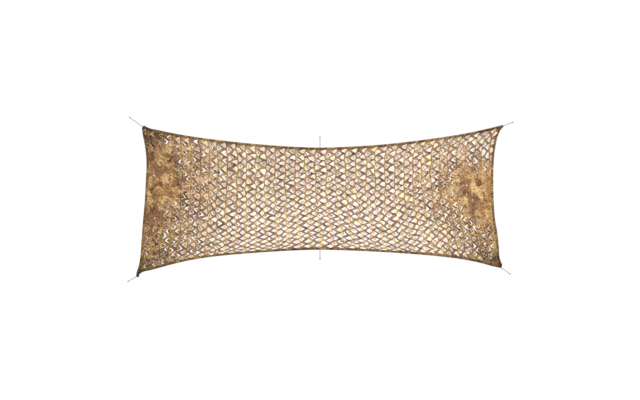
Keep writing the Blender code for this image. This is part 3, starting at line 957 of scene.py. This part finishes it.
def make_cloth_material(name, shade, seed):
    """Matt printed cloth, a little faded in places, with painted shade where it is pulled open and
    gathered, painted light on its leaves, and its weave in relief.
    """
    material, nodes, shader = new_material(name)
    place = nodes.uv_map()
    colour = camouflage(nodes, place, seed)
    fade = (0.74 + 0.50 * nodes.noise(place, 3.0, 3.0, 0.6)) * shade

    # Painted shade: where it is pulled open its strands, which roll up, are painted darker and a greyer
    # brown, and darker still along the cuts and in scattered specks
    tone = nodes.add("ShaderNodeAttribute", settings={"attribute_name": "tone"}, out=1)
    leaf, cut, opened = nodes.split(tone)
    ajar = (opened * (1 - opened) * 10.0).clamped()
    fade = fade * (1 - 0.19 * opened - cut * (0.09 + 0.33 * opened + 0.24 * ajar))
    tint = nodes.step(nodes.noise(place, 9.0), 0.5, 0.12)
    open_shade_colour = nodes.mix_colours(tint, linear(166, 146, 104), linear(170, 134, 116))
    colour = nodes.mix_colours(0.45 * opened, colour, open_shade_colour)
    fade = fade * (1 - 0.40 * opened * nodes.step(nodes.noise(place, 24.0, 1.0), 0.60, 0.07))

    # Painted shade where the cloth is gathered, at the corners and along the ends
    x, _, z = nodes.split(nodes.object_place())
    for (corner_x, corner_z), reach, depth in CORNER_SHADES:
        away = ((x - corner_x) ** 2 + (z - corner_z) ** 2) / reach ** 2
        fade = fade * (1 - depth * (-1.0 * away).exponent())
    colour = nodes.mix_colours(1.0, colour, nodes.join(fade, fade, fade), "MULTIPLY")

    # Light comes through the leaves, which are paler, and the half shut ones catch it on their lips
    lit = leaf * ((opened - 0.25) * 1.8).clamped()
    pale = nodes.mix_colours(tint, linear(246, 226, 184), linear(250, 220, 202))
    colour = nodes.mix_colours(lit, colour, pale)
    near_tip = ((4 * leaf * cut - 0.30) * 2.2).clamped()
    lip = near_tip * ((leaf - 0.45) * 5.0).clamped() * ajar
    colour = nodes.mix_colours(0.9 * lip, colour, linear(246, 208, 160))

    relief = cloth_relief(nodes, place, x, z, opened)
    rough = 0.78 + 0.16 * nodes.noise(place, 25.0)
    nodes.fill(shader, {"Base Color": colour, "Roughness": rough, "Normal": relief})
    nodes.fill(shader, {"Specular IOR Level": 0.12})
    return material


cloth_material = make_cloth_material("printed cloth", 1.0, 0.0)
held_lines, held_ends = inner_lines(HELD_INSIDE)
helpers = {}
for name, line in held_lines.items():
    first, last = held_ends[name]
    held_lines[name] = resample(line[first:last + 1])
    guide = [(x, 0.0, z) for x, z in held_lines[name][::GUIDE_STEP]]
    helpers[name.capitalize() + " line"] = line_object("guide_" + name, guide)
helpers["Left cell"] = cut_cell("cell_left", False)
helpers["Right cell"] = cut_cell("cell_right", True)
helpers["Top half"] = plain_half("half_top", False)
helpers["Bottom half"] = plain_half("half_bottom", True)
panel_inputs = {
    **{label: ("Object", helper) for label, helper in helpers.items()},
    "Middle stretch": ("Float", 0.09),
    "Foot crowding": ("Float", 0.11),
    "Row drop": ("Float", 0.10),
    "Column lean": ("Float", 0.032),
    "Belly": ("Float", 0.030),
    "Crumple": ("Float", 0.014),
    "Leaf length": ("Float", 0.045),
    "Cloth": ("Material", cloth_material),
}
held_corners = {
    (0, 0): held_lines["top"][0], (1, 0): held_lines["top"][-1],
    (0, 1): held_lines["bottom"][0], (1, 1): held_lines["bottom"][-1],
}
net_panel = grow("net_cloth_panel", *panel_tree(panel_inputs, held_corners), panel_inputs)
for helper in helpers.values():
    bpy.data.objects.remove(helper, do_unlink=True)
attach(net_panel, "root")
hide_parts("net_panel")


# ---- Edge bindings ----
# Four tapes cut from the same printed cloth, 50 mm wide, each folded in half over one cut edge of
# the net. They are sewn through near their lips and mitred where two of them meet at a corner.
TAPE_WIDTH = 0.025
TAPE_CLOTH = 0.0007
TAPE_STEP = 0.012
END_CROWDING = 0.5
MITRE_GAP = 0.0003
CORNER_STATIONS = 4

# The stitches pucker it: the depth, how many waves, and each one's least and greatest rate and size
PUCKER = 0.0005
PUCKER_WAVES = 7
WAVE_RATES = (18, 60)
WAVE_SIZES = (0.3, 1)
TAPE_SEED = 5

# The lockstitch through both faces of the tape
SEAM_SHARE = 0.84
STITCH_PITCH = 0.008
STITCH_LENGTH = 0.0054
STITCH_WIDTH = 0.0011
STITCH_RISE = 0.0004
STITCH_SIDES = (6, 4)

# The folded tape's section: distance from the fold and half its thickness there
TAPE_SECTION = [
    (1.00, 0.0019), (0.86, 0.0018), (0.78, 0.0021), (0.50, 0.0024), (0.22, 0.0024),
    (0.07, 0.0019), (0.015, 0.0009), (0.0, 0.0),
]


def binding_stations(name, lips, ends):
    """Points on a binding's fold and lip, in pairs along it and mitred at both ends."""
    outer, lip = outer_lines[name], lips[name]
    first, last = ends[name]
    count = len(outer) - 1
    corners = [np.array(place) for corner, place in CORNERS.items() if name in corner.split("_")]
    mitres = [(corners[0], first, 0), (corners[1], last, count)]
    pieces = round(measured(outer)[0].sum() / TAPE_STEP)
    shares = np.linspace(0.0, 1.0, pieces + 1)
    crowded = (1 - np.cos(np.pi * shares)) / 2
    shares = (1 - END_CROWDING) * shares + END_CROWDING * crowded
    middle = (first + (last - first) * shares).round().astype(int)
    at_ends = [station / CORNER_STATIONS for station in range(CORNER_STATIONS)]
    indices = [round(first * share) for share in at_ends]
    indices += [int(index) for index in middle]
    indices += [round(count - (count - last) * share) for share in at_ends[::-1]]
    stations = []
    for index in dict.fromkeys(indices):
        fold, edge = outer[index], lip[index]
        if index <= first or index >= last:
            corner, turn, far = mitres[0] if index <= first else mitres[1]
            mitre = corner - lip[turn]
            edge = lip[turn] + abs(index - turn) / abs(far - turn) * mitre
            mitre = mitre / np.linalg.norm(mitre)
            aside = outer[far] - corner
            aside = aside - np.dot(aside, mitre) * mitre
            edge = edge + MITRE_GAP * aside / np.linalg.norm(aside)
        stations.append((fold, edge))
    return stations


def pucker(waves, along, share):
    """How far the stitches' pull lifts the tape, at a place along it and across it."""
    ripple = sum(size * math.sin(rate * along * 2 + phase) for rate, phase, size in waves)
    return PUCKER * ripple * (0.3 + 0.7 * math.sin(math.pi * share))


def folded_tape(name, stations, material, draw):
    """A tape folded over the panel's edge, puckered by its stitches, and its two seam lines."""
    section = [(share, -depth) for share, depth in TAPE_SECTION]
    section += [(share, depth) for share, depth in TAPE_SECTION[-2::-1]]
    seam_depth = float(np.interp(SEAM_SHARE, *zip(*TAPE_SECTION[::-1])))
    seam_depth = seam_depth + TAPE_CLOTH / 2 + STITCH_RISE
    waves = [
        (draw.uniform(*WAVE_RATES), draw.uniform(0, 6.28), draw.uniform(*WAVE_SIZES))
        for _ in range(PUCKER_WAVES)
    ]
    mesh = bmesh.new()
    rows, seams = [], {-1: [], 1: []}
    travelled = measured(np.array([fold for fold, _ in stations]))[1]
    for (fold, lip), along in zip(stations, travelled):
        run = lip - fold
        row = []
        for share, depth in section:
            spot = fold + share * run + run / np.linalg.norm(run) * TAPE_CLOTH / 2 * (1 - share)
            depth += pucker(waves, along, share)
            row.append(mesh.verts.new((spot[0], depth, spot[1])))
        rows.append(row)
        x, z = fold + SEAM_SHARE * run
        lift = pucker(waves, along, SEAM_SHARE)
        for way, seam in seams.items():
            seam.append((float(x), way * seam_depth + lift, float(z)))
    last = len(section) - 1
    skin(mesh, rows, lambda row, step: (travelled[row], step / last * 2 * TAPE_WIDTH))
    bmesh.ops.recalc_face_normals(mesh, faces=mesh.faces)
    made = mesh_object(name, mesh, material)
    wall = made.modifiers.new("tape cloth", "SOLIDIFY")
    wall.thickness = TAPE_CLOTH
    wall.offset = 0.0
    return made, [seam[CORNER_STATIONS:-CORNER_STATIONS] for seam in seams.values()]


def make_thread_material():
    """Twisted polyester thread, a shade paler than the tape."""
    material, nodes, shader = new_material("sewing thread")
    around, along, _ = nodes.split(nodes.uv_map())
    twist = ((around * 2 + along * 5) * (2 * math.pi)).sine()
    worn = nodes.noise(nodes.object_place(), 30.0)
    colour = nodes.mix_colours(worn, linear(120, 92, 60), linear(158, 128, 90))
    bump = nodes.bump(twist, 0.5, 0.0002)
    nodes.fill(shader, {"Base Color": colour, "Roughness": 0.7, "Normal": bump})
    return material


def one_stitch():
    """The part of a stitch that shows: a short thread, thickest in its middle."""
    mesh = bmesh.new()
    mesh.loops.layers.uv.new("UVMap")
    size = Matrix.Diagonal((STITCH_WIDTH / 2, STITCH_WIDTH / 2, STITCH_LENGTH / 2, 1.0))
    around, along = STITCH_SIDES
    bmesh.ops.create_uvsphere(
        mesh, u_segments=around, v_segments=along, radius=1.0, matrix=size, calc_uvs=True
    )
    # The sphere's faces come in no fixed order
    mesh.verts.index_update()
    count = len(mesh.verts)
    mesh.faces.sort(key=lambda face: sum(
        vertex.index * count ** place for place, vertex in enumerate(face.verts)
    ))
    for face in mesh.faces:
        face.smooth = True
    return mesh_object("one_stitch", mesh)


def stitch_tree(given_inputs):
    """Stitches at an even pitch along the two seam lines."""
    nodes, given = new_tree("lockstitch", given_inputs)
    seams = joined(nodes, [shape_of(nodes, given[label]) for label in ("Front seam", "Back seam")])
    inputs = {"Curve": seams, "Length": given["Pitch"]}
    spots = nodes.add("GeometryNodeResampleCurve", inputs, {"mode": "LENGTH"})
    along = nodes.add("GeometryNodeInputTangent")
    settings = {"axis": "Z", "pivot_axis": "AUTO"}
    turn = nodes.add("FunctionNodeAlignRotationToVector", {"Vector": along}, settings)
    inputs = {"Points": spots, "Instance": shape_of(nodes, given["Stitch"]), "Rotation": turn}
    stitches = nodes.add("GeometryNodeInstanceOnPoints", inputs)
    stitches = nodes.add("GeometryNodeRealizeInstances", {0: stitches})
    inputs = {"Geometry": stitches, "Material": given["Thread"]}
    return nodes, nodes.add("GeometryNodeSetMaterial", inputs)


# The tape is the net's cloth painted darker, at 0.46 of its brightness: painted shade of its fold
tape_material = make_cloth_material("printed tape", 0.46, 4.0)
tape_draw = random.Random(TAPE_SEED)
lip_lines, lip_ends = inner_lines({name: TAPE_WIDTH for name in EDGES})
thread_material = make_thread_material()
stitch = one_stitch()
tapes, all_stitches = [], []
for name in EDGES:
    stations = binding_stations(name, lip_lines, lip_ends)
    tape, seams = folded_tape(f"tape_{name}", stations, tape_material, tape_draw)
    seam_lines = [line_object(f"seam_{name}", seam) for seam in seams]
    stitch_inputs = {
        "Front seam": ("Object", seam_lines[0]),
        "Back seam": ("Object", seam_lines[1]),
        "Stitch": ("Object", stitch),
        "Pitch": ("Float", STITCH_PITCH),
        "Thread": ("Material", thread_material),
    }
    stitches = grow(f"stitches_{name}", *stitch_tree(stitch_inputs), stitch_inputs)
    for line in seam_lines:
        bpy.data.objects.remove(line, do_unlink=True)
    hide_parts("binding_" + name)
    for piece in (tape, stitches):
        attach(piece, "root")
    tapes.append(tape)
    all_stitches.append(stitches)
bpy.data.objects.remove(stitch, do_unlink=True)


# ---- Floor and light ----
# A wide pale floor well below the net, with soft light from all round and a lamp above it in front.
FLOOR_LOW = Vector((-7.0, -8.0, -3.6))
FLOOR_HIGH = Vector((7.0, 3.3, -3.6))
FLOOR_SQUARES = 8

# The white all round: its brightness to the camera, and its light on the net
BACKDROP = 1.02
FILL = 0.48

LAMP_PLACE = Vector((2.6, -5.5, 6.5))
LAMP_AIM = Vector((0.0, 0.0, -0.5))
LAMP_SIZE = 1.6
LAMP_POWER = 1080.0

floor_mesh = bmesh.new()
bmesh.ops.create_grid(floor_mesh, x_segments=FLOOR_SQUARES, y_segments=FLOOR_SQUARES, size=0.5)
for vertex in floor_mesh.verts:
    vertex.co = (FLOOR_LOW + FLOOR_HIGH) / 2 + vertex.co * (FLOOR_HIGH - FLOOR_LOW)
floor_material, floor_nodes, floor_shader = new_material("pale floor")
floor_tone = 0.93 + 0.02 * floor_nodes.noise(floor_nodes.object_place(), 0.8)
floor_colour = floor_nodes.join(floor_tone, floor_tone, floor_tone)
floor_nodes.fill(floor_shader, {"Base Color": floor_colour, "Roughness": 0.9})
mesh_object("studio_floor", floor_mesh, floor_material)

world = bpy.data.worlds.new("soft studio")
world.use_nodes = True
world_nodes = Nodes(world.node_tree)
strength = FILL + (BACKDROP - FILL) * world_nodes.add("ShaderNodeLightPath")
white = (1.0, 1.0, 1.0, 1.0)
world_nodes.fill(world.node_tree.nodes["Background"], {"Color": white, "Strength": strength})
scene.world = world
scene.view_settings.view_transform = "Standard"

lamp_data = bpy.data.lights.new("key_lamp", "AREA")
lamp_data.shape = "DISK"
lamp_data.size = LAMP_SIZE
lamp_data.energy = LAMP_POWER
lamp = add_object("key_lamp", lamp_data)
lamp.location = LAMP_PLACE
lamp.rotation_euler = (LAMP_AIM - LAMP_PLACE).to_track_quat("-Z", "Y").to_euler()
